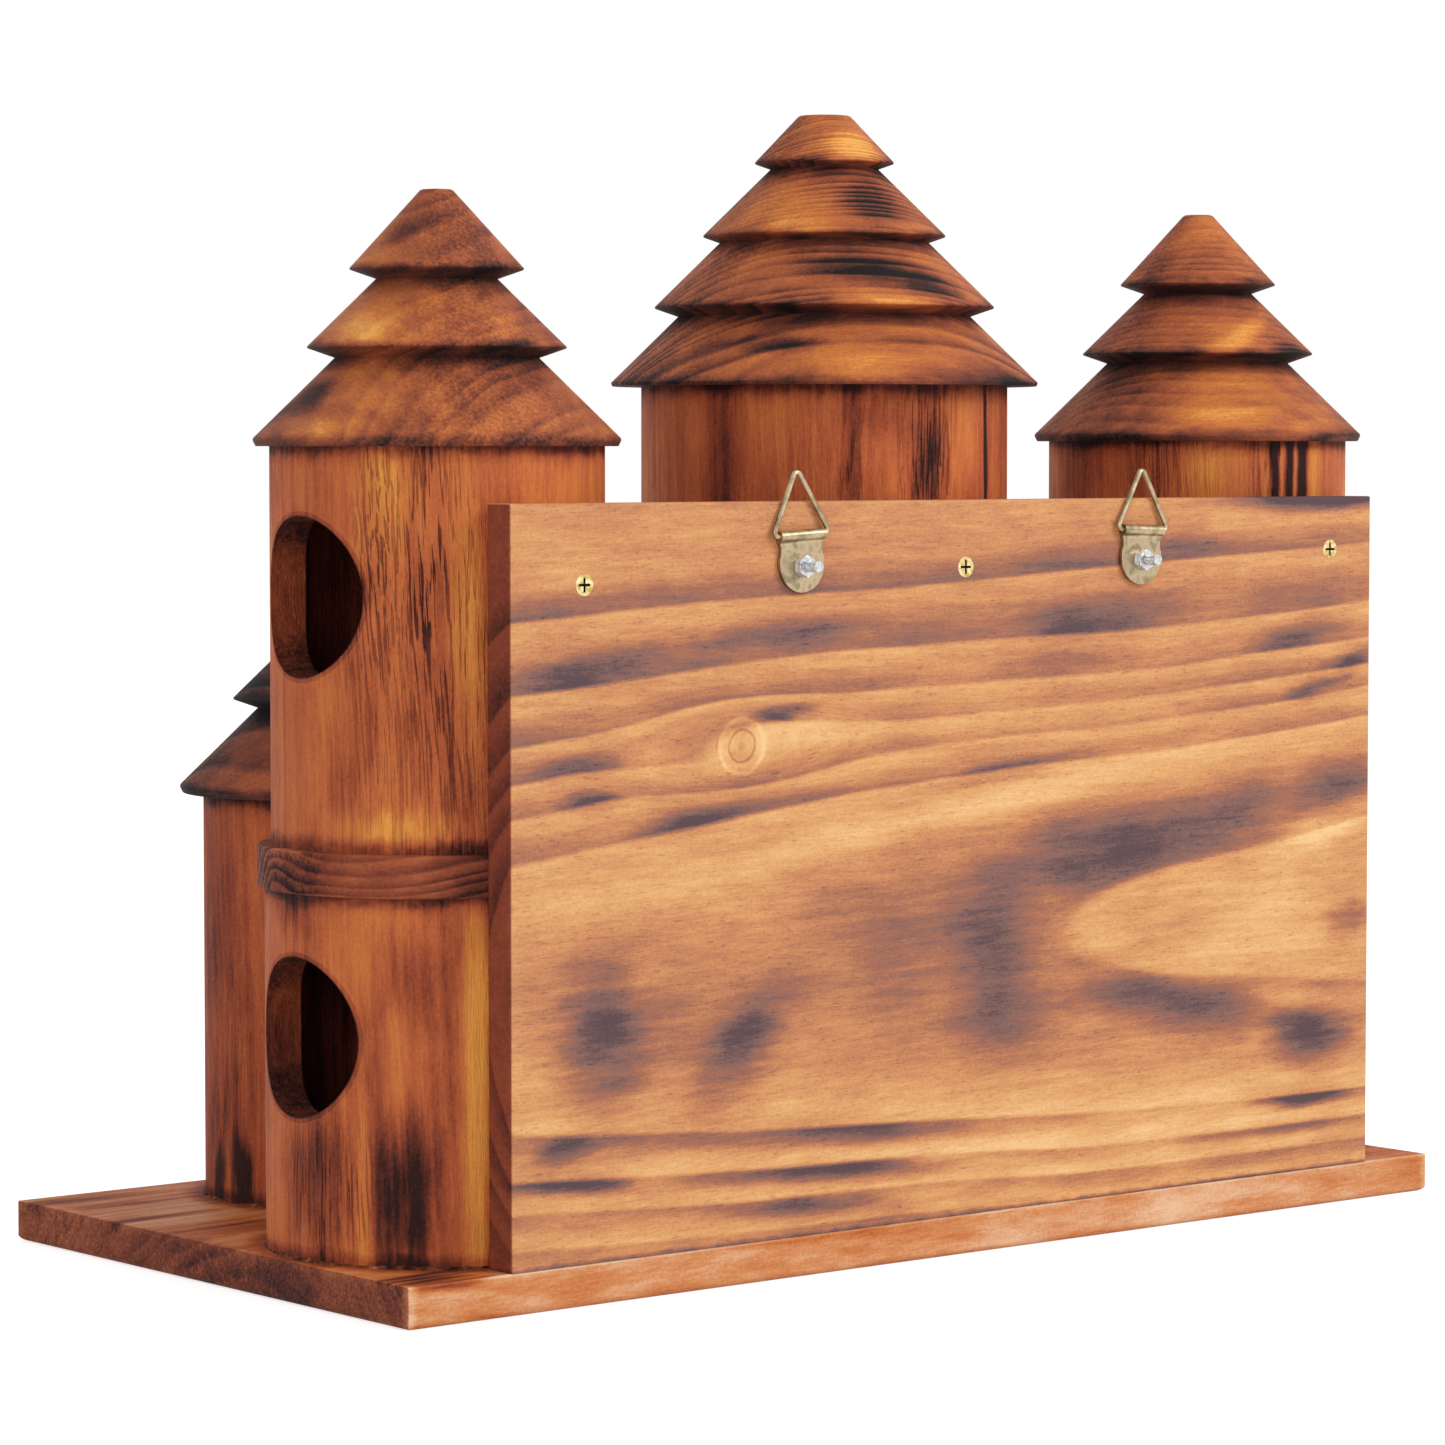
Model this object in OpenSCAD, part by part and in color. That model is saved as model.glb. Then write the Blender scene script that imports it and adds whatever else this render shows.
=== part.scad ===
// Multi-chamber birdhouse: five turned wooden towers with stepped round roofs on one base board.
// Three tall towers stand against a back panel, two short ones stand in front of them.
// The origin is the centre of the board's underside, +Z is up and the front faces -Y.
// "Right" and "left" are as seen from the front, so the right tower stands at +X.

/* [Base board] */
// How far the board runs out past each side tower's upper wall
end_gap = 3.5; // [2:0.5:40]
// Least gap between a front tower's wall and the board's front edge
front_gap = 4.5; // [1:0.5:40]
// Thickness of the board
base_t = 15; // [10:0.5:25]
// Radius planed on the board's lower edges
base_under_r = 3; // [0.5:0.5:4.5]
// Radius sanded on the board's upper edges and its four corners
base_top_r = 0.8; // [0.4:0.1:3]

/* [Back panel] */
// How far the panel runs past the middle of each side tower
panel_over = 23.5; // [15:0.5:35]
// How far the panel's top lies below the right tower's roof
panel_below = 19.5; // [10:0.5:40]
// Thickness of the panel
panel_t = 13; // [9:0.5:16]
// How far the panel's middle sits to the right of the board's middle
panel_shift = -4.3; // [-10:0.1:10]
// Radius sanded on the panel's edges
panel_edge_r = 1; // [0.3:0.1:3]

/* [Tall towers] */
// Distance from the middle tower to each side tower
tower_pitch = 187.5; // [170:0.5:192]
// How far the middle tower sits to the right of the board's middle
tower_shift = -2.9; // [-6:0.1:6]
// Outer radius of the side towers' upper walls
side_r = 59; // [52:0.5:63]
// Outer radius of the middle tower's upper wall
middle_r = 69; // [60:0.5:76]
// How much wider a lower wall is than the upper wall, in radius
lower_extra = 1; // [0:0.25:3]
// How far a side tower's lower wall stands further out than its upper wall
lower_out = 1; // [0:0.25:2]
// Thickness of all the tower walls
wall_t = 13; // [8:0.5:18]
// Depth planed off a wall's back where it is glued to the panel
glue_flat = 0.5; // [0.25:0.25:2]
// Height of the lower walls
lower_h = 127.5; // [115:0.5:145]
// Height of the right tower's upper wall
right_upper_h = 139.5; // [130:0.5:165]
// Height of the left tower's upper wall
left_upper_h = 141.5; // [130:0.5:165]
// Height of the middle tower's upper wall
middle_upper_h = 162; // [140:0.5:190]

/* [Storey discs] */
// Thickness of a disc
disc_t = 15; // [9:0.5:20]
// How far a disc stands out past the lower wall under it
disc_lip = 2.5; // [0.5:0.5:6]
// Radius sanded on a disc's edges
disc_edge_r = 1; // [0.2:0.1:3]

/* [Front towers] */
// How far a front tower's middle stands in from the side tower's middle
front_in = 42; // [30:0.5:60]
// Outer radius of the front towers' walls
front_r = 49.5; // [40:0.5:56]
// Gap between a front tower's roof and the side tower's upper wall
front_clear = 13.5; // [5:0.5:30]
// Height of the front walls
front_h = 152; // [130:0.5:170]

/* [Entrances] */
// Diameter of the entrance holes
hole_d = 56; // [28:1:58]
// Depth of a lower hole's middle below the storey disc
hole_low = 50; // [35:0.5:75]
// Depth of an upper hole's middle below the roof
hole_high = 52; // [35:0.5:80]
// Depth of a front tower's hole below its roof
hole_front = 60; // [35:0.5:95]

/* [Roofs] */
// How far a side roof's lowest rim stands out past the wall
side_eave = 6; // [2:0.5:9]
// How far the rims above it stand in from the lowest one
side_steps = [19, 34]; // [16:0.5:36]
// Height of each rim of a side roof above the wall
side_rim_z = [2.5, 34.5, 62]; // [1:0.5:66]
// Radius of a side roof's flat top
side_top_r = 5.5; // [3:0.5:14]
// Height of a side roof
side_top_z = 90; // [80:0.5:104]
// How far the middle roof's lowest rim stands out past the wall
middle_eave = 11.5; // [4:0.5:15]
// How far the rims above it stand in from the lowest one
middle_steps = [16.2, 34.5, 54]; // [14:0.1:56]
// Height of each rim of the middle roof above the wall
middle_rim_z = [1.2, 29.4, 56.2, 83.6]; // [0.6:0.2:86]
// Radius of the middle roof's flat top
middle_top_r = 9.5; // [4:0.5:14]
// Height of the middle roof
middle_top_z = 101.5; // [95:0.5:112]
// How far a front roof's lowest rim stands out past the wall
front_eave = 9; // [2:0.5:14]
// How far the rims above it stand in from the lowest one
front_steps = [20, 36.5]; // [17:0.5:38]
// Height of each rim of a front roof above the wall
front_rim_z = [2.5, 35, 61.5]; // [1:0.5:66]
// Radius of a front roof's flat top
front_top_r = 5; // [3:0.5:12]
// Height of a front roof
front_top_z = 90; // [80:0.5:104]
// How far a tier's side runs in for each unit of its height
roof_run = 1.02; // [0.85:0.01:1.1]
// How far a tier's underside drops for each unit that it runs in
roof_undercut = 0.35; // [0.1:0.01:0.5]
// Radius left on the sharp rims
rim_r = 0.5; // [0.2:0.1:1]
// Radius sanded round the flat tops
top_edge_r = 2; // [0.5:0.25:3]

/* [Panel screws] */
// Offset of the right, middle and left screw from its tower's middle
screw_off = [-10, 1.5, -2]; // [-14:0.5:14]
// Depth of the right, middle and left screw below the panel's top
screw_drop = [28, 24.5, 20.5]; // [12:0.5:40]
// Diameter of a screw's flat head
screw_head_d = 7.5; // [6:0.1:9]
// Diameter of a screw's shank
screw_d = 3.5; // [2.5:0.1:4.5]
// How far a screw's point stays short of the wall's inner face
screw_short = 2; // [0.5:0.5:5]

/* [Hangers] */
// Distance between the two hangers
hanger_pitch = 167; // [150:0.5:190]
// How far the middle between the hangers sits to the right of the board's middle
hanger_shift = -5.2; // [-10:0.1:10]
// Depth of the hanger bolts below the panel's top
hanger_drop = 23; // [20:0.5:25]
// How far the right hanger has turned on its bolt, in degrees
right_tilt = 3; // [-5:0.5:5]
// How far the left hanger has turned on its bolt, in degrees
left_tilt = -2; // [-5:0.5:5]
// Width of a strap
strap_w = 20.4; // [18:0.2:24]
// Thickness of the strap's sheet, which is folded double
strap_t = 0.9; // [0.6:0.1:1.1]
// Height of the strap's eye above its bolt
eye_up = 11.1; // [10:0.1:13]
// Depth of the strap's rounded end below its bolt
strap_down = 9.3; // [8:0.1:11]
// How far each side of the strap is waisted below the eye
strap_waist = 0.8; // [0:0.1:1.5]
// Diameter of the ring's wire
ring_wire = 1.9; // [1.5:0.1:2.2]
// Height of a ring, from its hinge line to the middle of the wire at its point
ring_h = 22.2; // [20:0.2:26]
// Bend radius of the ring's three corners, at the middle of the wire
ring_bend = 1.6; // [1.2:0.1:2]
// Play between the ring's wire and the strap's eye, in radius
eye_play = 0.08; // [0.05:0.01:0.15]
// Gap between a resting ring and the panel's edge
ring_rest = 0.3; // [0.2:0.05:0.6]

/* [Hanger bolts] */
// Diameter of a bolt
bolt_d = 4; // [3:0.5:4.5]
// How far a bolt stands out past its nut
bolt_end = 5.8; // [1:0.2:8]
// Diameter of a bolt's domed head
bolt_head_d = 8.5; // [7:0.5:10]
// Height of a bolt's domed head
bolt_head_h = 2.6; // [2:0.1:3]
// Width of a nut across its flats
nut_af = 7; // [6.6:0.1:8]
// Thickness of a nut
nut_t = 3.2; // [2.4:0.1:4]

/* [Hidden] */
$fn = 96;

// The three tall towers, as signs along X
RIGHT = 1;
MIDDLE = 0;
LEFT = -1;
// Directions that an entrance can face
FACE_RIGHT = 0;
FACE_LEFT = 180;
FACE_FRONT = -90;

// Cuts run past the faces that they open by this much
past = 1;
// Play round screws and bolts in their holes, in radius
screw_play = 0.05;
bolt_play = 0.15;
// A screw's pilot hole is this much deeper than its point
pilot_extra = 0.5;
// Depth and width of the crossed slots in a screw's head
cross_deep = 1.3;
cross_w = 0.9;
// Segments in one rounded corner of a profile
round_steps = 5;

disc_z = base_t + lower_h;
upper_z = disc_z + disc_t;

// A front tower stands clear of the side tower behind it, and the board is cut to whole
// millimetres round both
front_apart = side_r + front_clear + front_r + front_eave;
front_ahead = sqrt(pow(front_apart, 2) - pow(front_in, 2));
base_w = 2 * (tower_pitch + side_r + end_gap);
base_d = ceil(front_gap + front_r + front_ahead + side_r - glue_flat + panel_t);

panel_w = 2 * (tower_pitch + panel_over);
panel_back = base_d / 2;
panel_front = panel_back - panel_t;
panel_top = upper_z + right_upper_h - panel_below;
screw_len = panel_t + wall_t - screw_short;

wire_r = ring_wire / 2;
eye_bore_r = wire_r + eye_play;
eye_r = eye_bore_r + strap_t;
// The straight part of the ring's wire runs this far past each end of the eye
ring_side_play = 0.3;
ring_bar = strap_w / 2 + ring_side_play;

wood_wall = "#A8562C";
wood_roof = "#9A5029";
wood_panel = "#BE7E4C";
wood_base = "#A2572D";
wood_disc = "#7C4028";
steel_plated = "#C9BF86";
steel_bright = "#C4C6C8";
brass_plated = "#CDB66A";

// A corner b between a and c, rounded to radius r or to what its sides leave room for
function unit(v) = v / norm(v);
function turn(from, to) = let (d = to - from) d > 180 ? d - 360 : d < -180 ? d + 360 : d;
function corner(a, b, c, r) =
    r <= 0 ? [b] :
    let (u = unit(a - b),
         v = unit(c - b),
         half = acos(u * v) / 2,
         room = 0.49 * min(norm(a - b), norm(c - b)),
         fit = min(r, room * tan(half)),
         middle = b + unit(u + v) * fit / sin(half),
         start = b + u * fit / tan(half) - middle,
         end = b + v * fit / tan(half) - middle,
         from = atan2(start.y, start.x),
         sweep = turn(from, atan2(end.y, end.x)))
    [for (i = [0 : round_steps])
        middle + fit * [cos(from + sweep * i / round_steps), sin(from + sweep * i / round_steps)]];
function rounded(pts, radii) =
    let (n = len(pts))
    [for (i = [0 : n - 1]) each corner(pts[(i + n - 1) % n], pts[i], pts[(i + 1) % n], radii[i])];

// A board's rectangle from low to high, with its lower and upper corners rounded
function board_face(low, high, low_r, high_r) =
    rounded([low, [high.x, low.y], high, [low.x, high.y]], [low_r, low_r, high_r, high_r]);

function tower_x(side) = tower_shift + side * tower_pitch;
function upper_r(side) = side == MIDDLE ? middle_r : side_r;
function lower_r(side) = upper_r(side) + lower_extra;
function against_panel(r) = panel_front - r + glue_flat;
function upper_at(side) = [tower_x(side), against_panel(upper_r(side)), upper_z];
function lower_at(side) = [tower_x(side) + side * lower_out, against_panel(lower_r(side)), base_t];
function upper_h(side) = side == RIGHT ? right_upper_h : side == LEFT ? left_upper_h : middle_upper_h;
function entrance(side) = side == RIGHT ? FACE_RIGHT : side == LEFT ? FACE_LEFT : FACE_FRONT;
function front_at(side) =
    [tower_x(side) - side * front_in, against_panel(side_r) - front_ahead, base_t];
function screw_at(side) =
    [tower_x(side) + screw_off[1 - side], panel_back, panel_top - screw_drop[1 - side]];
function hanger_at(side) = [hanger_shift + side * hanger_pitch / 2, panel_back, panel_top - hanger_drop];
function hanger_tilt(side) = side == RIGHT ? right_tilt : left_tilt;

// A wall turned as one tube, with a round entrance through its face side, hole_drop below its top
module wall(at, r, h, hole_drop, face) {
    translate(at)
        difference() {
            cylinder(r = r, h = h);
            translate([0, 0, -past])
                cylinder(r = r - wall_t, h = h + 2 * past);
            translate([0, 0, h - hole_drop])
                rotate([0, 0, face])
                    rotate([0, 90, 0])
                        cylinder(d = hole_d, h = r + past);
        }
}

// Everything behind the panel's front face, which a tall tower is planed back to
module behind_panel_front() {
    translate([-base_w, panel_front, -past])
        cube([2 * base_w, base_d, 2 * panel_top]);
}

module lower_wall(side) {
    difference() {
        wall(lower_at(side), lower_r(side), lower_h, hole_low, entrance(side));
        behind_panel_front();
    }
}

module upper_wall(side) {
    difference() {
        wall(upper_at(side), upper_r(side), upper_h(side), hole_high, entrance(side));
        behind_panel_front();
        screw_hole(side);
    }
}

// A disc is the lower room's ceiling and the upper room's floor
module storey_disc(side) {
    r = lower_r(side) + disc_lip;
    outline = rounded([[0, 0], [r, 0], [r, disc_t], [0, disc_t]], [0, disc_edge_r, disc_edge_r, 0]);
    difference() {
        translate([lower_at(side).x, lower_at(side).y, disc_z])
            rotate_extrude()
                polygon(outline);
        behind_panel_front();
    }
}

// The notch between two tiers: the lower tier's side meets the upper tier's undercut
function notch(rim, next) =
    let (lean = roof_run * roof_undercut,
         r = (rim.x - roof_run * (next.y - rim.y) + lean * next.x) / (1 + lean))
    [r, next.y - roof_undercut * (next.x - r)];

// A roof is turned from one block: stepped cones with an undercut below each rim
module roof(at, low_rim_r, steps, rims_z, top_r, top_z) {
    last = len(steps);
    rims = [for (i = [0 : last]) [i == 0 ? low_rim_r : low_rim_r - steps[i - 1], rims_z[i]]];
    // The lowest rim is a rounded nose over a flat underside
    nose_r = rims[0].y / 2;
    tiers = [for (i = [0 : last]) each i == 0 ? [rims[0]] : [notch(rims[i - 1], rims[i]), rims[i]]];
    tier_radii = [for (i = [0 : last]) each i == 0 ? [nose_r] : [0, rim_r]];
    points = concat([[0, 0], [rims[0].x - nose_r, 0]], tiers, [[top_r, top_z], [0, top_z]]);
    radii = concat([0, nose_r / 2], tier_radii, [top_edge_r, 0]);
    translate(at)
        rotate_extrude()
            polygon(rounded(points, radii));
}

module tall_roof(side) {
    at = upper_at(side) + [0, 0, upper_h(side)];
    if (side == MIDDLE)
        roof(at, middle_r + middle_eave, middle_steps, middle_rim_z, middle_top_r, middle_top_z);
    else
        roof(at, side_r + side_eave, side_steps, side_rim_z, side_top_r, side_top_z);
}

module front_wall(side) {
    wall(front_at(side), front_r, front_h, hole_front, FACE_FRONT);
}

module front_roof(side) {
    roof(front_at(side) + [0, 0, front_h], front_r + front_eave, front_steps, front_rim_z,
         front_top_r, front_top_z);
}

// Points a shape drawn upwards so that it runs forwards, from the panel's back into the house
module into_house(at) {
    translate(at)
        rotate([90, 0, 0])
            children();
}

// A screw's half outline, drawn from its head down to its point, with some play all round
function screw_outline(play) =
    let (head_r = screw_head_d / 2 + play,
         shank_r = screw_d / 2 + play,
         point = screw_d)
    [[0, 0], [head_r, 0], [shank_r, head_r - shank_r], [shank_r, screw_len - point],
     [0, screw_len]];

module screw(side) {
    into_house(screw_at(side))
        difference() {
            rotate_extrude()
                polygon(screw_outline(0));
            for (angle = [0, 90])
                rotate([0, 0, angle])
                    translate([-screw_head_d / 3, -cross_w / 2, -past])
                        cube([screw_head_d * 2 / 3, cross_w, past + cross_deep]);
        }
}

module screw_hole(side) {
    into_house(screw_at(side)) {
        rotate_extrude()
            polygon(screw_outline(screw_play));
        cylinder(d = screw_d + 2 * screw_play, h = screw_len + pilot_extra);
        translate([0, 0, -past])
            cylinder(d = screw_head_d + 2 * screw_play, h = past);
    }
}

// A hanger's own frame: its bolt's line on the panel's back, turned by the hanger's tilt
module on_panel(side) {
    translate(hanger_at(side))
        rotate([0, hanger_tilt(side), 0])
            children();
}

module bolt_hole() {
    translate([0, past + bolt_head_h, 0])
        rotate([90, 0, 0])
            cylinder(d = bolt_d + 2 * bolt_play, h = panel_t + bolt_head_h + 2 * past);
}

// Side view of the folded strap: two leaves, and the eye that they close round the ring's wire
module strap_section() {
    fold_r = 1.5 * strap_t;
    fold_y = 2 * strap_t + fold_r;
    fold_z = eye_up - sqrt(pow(eye_r + fold_r, 2) - pow(fold_y - eye_r, 2));
    part = eye_r / (eye_r + fold_r);
    translate([0, -strap_down])
        square([2 * strap_t, strap_down + fold_z]);
    square([strap_t, eye_up]);
    translate([eye_r, eye_up])
        circle(r = eye_r);
    difference() {
        translate([0, fold_z])
            square([eye_r + part * (fold_y - eye_r), part * (eye_up - fold_z) - eye_r + eye_up - fold_z]);
        translate([fold_y, fold_z])
            circle(r = fold_r);
    }
}

// Rear view of the strap: a waisted tongue with a round end
module strap_outline() {
    lobe_z = strap_w / 2 - strap_down;
    waist_r = 7 * strap_t;
    difference() {
        union() {
            translate([0, lobe_z])
                circle(d = strap_w);
            translate([-strap_w / 2, lobe_z])
                square([strap_w, eye_up + eye_r - lobe_z]);
        }
        for (x = [-1, 1])
            translate([x * (strap_w / 2 - strap_waist + waist_r), eye_up - eye_r - waist_r / 2])
                circle(r = waist_r);
    }
}

module hanger_strap(side) {
    on_panel(side)
        difference() {
            intersection() {
                translate([-strap_w / 2, 0, 0])
                    rotate([90, 0, 90])
                        linear_extrude(strap_w)
                            strap_section();
                translate([0, 2 * eye_r + past, 0])
                    rotate([90, 0, 0])
                        linear_extrude(2 * eye_r + 2 * past)
                            strap_outline();
            }
            translate([-strap_w, eye_r, eye_up])
                rotate([0, 90, 0])
                    cylinder(r = eye_bore_r, h = 2 * strap_w);
            bolt_hole();
        }
}

// The ring leans on the panel's top edge until its wire is ring_rest away from it
edge_out = eye_r;
edge_up = hanger_drop - eye_up;
ring_lean = atan2(edge_out, edge_up) - asin((wire_r + ring_rest) / norm([edge_out, edge_up]));

// One bend of the ring's wire about a point of its plane
module wire_bend(at, from, sweep) {
    translate([at.x, 0, at.y])
        rotate([90, 0, 0])
            rotate([0, 0, from])
                rotate_extrude(angle = sweep)
                    translate([ring_bend, 0])
                        circle(r = wire_r, $fn = 48);
}

// A straight stretch of the wire from one point of the ring's plane to another. The balls at its
// ends are a hair larger than the wire, so that they join it to the bends
module wire_run(from, to) {
    step = to - from;
    ball_r = wire_r + 0.005;
    translate([from.x, 0, from.y])
        rotate([0, atan2(step.x, step.y), 0]) {
            cylinder(r = wire_r, h = norm(step), $fn = 48);
            sphere(r = ball_r, $fn = 48);
            translate([0, 0, norm(step)])
                sphere(r = ball_r, $fn = 48);
        }
}

module hanger_ring(side) {
    rise = ring_h - 2 * ring_bend;
    out = atan2(ring_bar, rise);
    bend_side = ring_bend * [cos(out), sin(out)];
    on_panel(side)
        translate([0, eye_r, eye_up])
            rotate([ring_lean, 0, 0]) {
                wire_run([-ring_bar, 0], [ring_bar, 0]);
                wire_bend([ring_bar, ring_bend], -90, 90 + out);
                wire_bend([-ring_bar, ring_bend], 180 - out, 90 + out);
                wire_bend([0, rise + ring_bend], out, 180 - 2 * out);
                for (x = [-1, 1])
                    wire_run([x * (ring_bar + bend_side.x), ring_bend + bend_side.y],
                             [x * bend_side.x, rise + ring_bend + bend_side.y]);
            }
}

module hanger_bolt(side) {
    thick = 2 * strap_t + nut_t + bolt_end;
    dome = rounded([[0, 0], [bolt_head_d / 2, 0], [bolt_head_d / 2, bolt_head_h], [0, bolt_head_h]],
                   [0, 0, bolt_head_h * 0.6, 0]);
    on_panel(side)
        rotate([90, 0, 0])
            difference() {
                union() {
                    translate([0, 0, -thick])
                        cylinder(d = bolt_d, h = thick + panel_t);
                    translate([0, 0, panel_t])
                        rotate_extrude()
                            polygon(dome);
                }
                for (angle = [0, 90])
                    rotate([0, 0, angle])
                        translate([-bolt_head_d / 4, -cross_w / 2, panel_t + bolt_head_h - cross_deep])
                            cube([bolt_head_d / 2, cross_w, cross_deep + past]);
            }
}

module hanger_nut(side) {
    corner_r = nut_af / 2 / cos(30);
    chamfer = corner_r - nut_af / 2;
    // A cone at each end trims the six corners
    trim = [[0, -past], [nut_af / 2, -past], [nut_af / 2, 0], [corner_r, chamfer / 2],
            [corner_r, nut_t - chamfer / 2], [nut_af / 2, nut_t], [nut_af / 2, nut_t + past],
            [0, nut_t + past]];
    on_panel(side)
        translate([0, 2 * strap_t, 0])
            rotate([-90, 0, 0])
                difference() {
                    intersection() {
                        rotate([0, 0, 90])
                            cylinder(r = corner_r, h = nut_t, $fn = 6);
                        rotate_extrude()
                            polygon(trim);
                    }
                    translate([0, 0, -past])
                        cylinder(r = bolt_d / 2 + screw_play, h = nut_t + 2 * past);
                }
}

module base_board() {
    color(wood_base)
        intersection() {
            linear_extrude(base_t)
                polygon(board_face([-base_w / 2, -base_d / 2], [base_w / 2, base_d / 2],
                                   base_top_r, base_top_r));
            translate([0, base_d, 0])
                rotate([90, 0, 0])
                    linear_extrude(2 * base_d)
                        polygon(board_face([-base_w / 2, 0], [base_w / 2, base_t],
                                           base_under_r, base_top_r));
            translate([-base_w, 0, 0])
                rotate([90, 0, 90])
                    linear_extrude(2 * base_w)
                        polygon(board_face([-base_d / 2, 0], [base_d / 2, base_t],
                                           base_under_r, base_top_r));
        }
}

module back_panel() {
    left = panel_shift - panel_w / 2;
    right = panel_shift + panel_w / 2;
    color(wood_panel)
        difference() {
            intersection() {
                translate([0, panel_back + past, 0])
                    rotate([90, 0, 0])
                        linear_extrude(panel_t + 2 * past)
                            polygon(board_face([left, base_t], [right, panel_top], 0, panel_edge_r));
                translate([0, 0, base_t - past])
                    linear_extrude(panel_top - base_t + 2 * past)
                        polygon(board_face([left, panel_front], [right, panel_back],
                                           panel_edge_r, panel_edge_r));
                translate([left - past, 0, 0])
                    rotate([90, 0, 90])
                        linear_extrude(panel_w + 2 * past)
                            polygon(board_face([panel_front, base_t], [panel_back, panel_top],
                                               0, panel_edge_r));
            }
            for (side = [RIGHT, MIDDLE, LEFT])
                screw_hole(side);
            for (side = [RIGHT, LEFT])
                on_panel(side)
                    bolt_hole();
        }
}

module right_lower_wall() {
    color(wood_wall)
        lower_wall(RIGHT);
}

module right_storey_disc() {
    color(wood_disc)
        storey_disc(RIGHT);
}

module right_upper_wall() {
    color(wood_wall)
        upper_wall(RIGHT);
}

module right_roof() {
    color(wood_roof)
        tall_roof(RIGHT);
}

module middle_lower_wall() {
    color(wood_wall)
        lower_wall(MIDDLE);
}

module middle_storey_disc() {
    color(wood_disc)
        storey_disc(MIDDLE);
}

module middle_upper_wall() {
    color(wood_wall)
        upper_wall(MIDDLE);
}

module middle_roof() {
    color(wood_roof)
        tall_roof(MIDDLE);
}

module left_lower_wall() {
    color(wood_wall)
        lower_wall(LEFT);
}

module left_storey_disc() {
    color(wood_disc)
        storey_disc(LEFT);
}

module left_upper_wall() {
    color(wood_wall)
        upper_wall(LEFT);
}

module left_roof() {
    color(wood_roof)
        tall_roof(LEFT);
}

module front_right_wall() {
    color(wood_wall)
        front_wall(RIGHT);
}

module front_right_roof() {
    color(wood_roof)
        front_roof(RIGHT);
}

module front_left_wall() {
    color(wood_wall)
        front_wall(LEFT);
}

module front_left_roof() {
    color(wood_roof)
        front_roof(LEFT);
}

module panel_screws() {
    color(brass_plated)
        for (side = [RIGHT, MIDDLE, LEFT])
            screw(side);
}

module right_hanger_strap() {
    color(steel_plated)
        hanger_strap(RIGHT);
}

module right_hanger_ring() {
    color(steel_plated)
        hanger_ring(RIGHT);
}

module right_hanger_bolt() {
    color(steel_bright)
        hanger_bolt(RIGHT);
}

module right_hanger_nut() {
    color(steel_bright)
        hanger_nut(RIGHT);
}

module left_hanger_strap() {
    color(steel_plated)
        hanger_strap(LEFT);
}

module left_hanger_ring() {
    color(steel_plated)
        hanger_ring(LEFT);
}

module left_hanger_bolt() {
    color(steel_bright)
        hanger_bolt(LEFT);
}

module left_hanger_nut() {
    color(steel_bright)
        hanger_nut(LEFT);
}

base_board();
back_panel();
right_lower_wall();
right_storey_disc();
right_upper_wall();
right_roof();
middle_lower_wall();
middle_storey_disc();
middle_upper_wall();
middle_roof();
left_lower_wall();
left_storey_disc();
left_upper_wall();
left_roof();
front_right_wall();
front_right_roof();
front_left_wall();
front_left_roof();
panel_screws();
right_hanger_strap();
right_hanger_ring();
right_hanger_bolt();
right_hanger_nut();
left_hanger_strap();
left_hanger_ring();
left_hanger_bolt();
left_hanger_nut();
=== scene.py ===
import math
import random

import bmesh
import bpy
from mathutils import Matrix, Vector, noise


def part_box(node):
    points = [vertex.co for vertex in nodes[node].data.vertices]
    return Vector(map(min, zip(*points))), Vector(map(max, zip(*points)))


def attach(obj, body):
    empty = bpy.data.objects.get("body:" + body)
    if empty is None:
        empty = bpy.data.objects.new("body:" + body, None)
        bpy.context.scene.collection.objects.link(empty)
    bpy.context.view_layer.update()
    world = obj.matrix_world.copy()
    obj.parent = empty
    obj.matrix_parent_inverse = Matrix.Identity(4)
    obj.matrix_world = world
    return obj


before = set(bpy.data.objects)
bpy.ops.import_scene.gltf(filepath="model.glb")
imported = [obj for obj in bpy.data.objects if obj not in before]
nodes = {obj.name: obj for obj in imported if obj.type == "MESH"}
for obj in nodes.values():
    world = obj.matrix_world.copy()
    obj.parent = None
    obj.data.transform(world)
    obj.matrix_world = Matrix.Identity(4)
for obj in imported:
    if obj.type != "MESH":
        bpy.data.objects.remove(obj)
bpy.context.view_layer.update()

# Camera
# The house is seen from behind, from the corner on the right tower's side, a little above the
# board. Place, direction and lens are solved from the corners of the board and of the panel.
camera_at = Vector((1.2127, 1.4657, 0.2968))
camera_yaw = math.radians(39.348)
camera_pitch = math.radians(3.189)
view_line = Vector((
    -math.sin(camera_yaw) * math.cos(camera_pitch),
    -math.cos(camera_yaw) * math.cos(camera_pitch),
    -math.sin(camera_pitch),
))
lens = bpy.data.cameras.new("camera")
lens.sensor_fit = "HORIZONTAL"
lens.sensor_width = 36
lens.lens = 123.28
camera = bpy.data.objects.new("camera", lens)
camera.location = camera_at
camera.rotation_euler = view_line.to_track_quat("-Z", "Y").to_euler()
bpy.context.scene.collection.objects.link(camera)
bpy.context.scene.camera = camera

# Base board
# One flat-sawn pine board, planed, scorched with a flame, brushed and oiled. The rings run the
# length of it and show as bars across its two ends.


def linear(colour):
    """An sRGB hex colour as the linear RGBA that a socket takes"""
    parts = [int(colour[i:i + 2], 16) / 255 for i in (1, 3, 5)]
    return [c / 12.92 if c <= 0.04045 else ((c + 0.055) / 1.055) ** 2.4 for c in parts] + [1]


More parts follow.
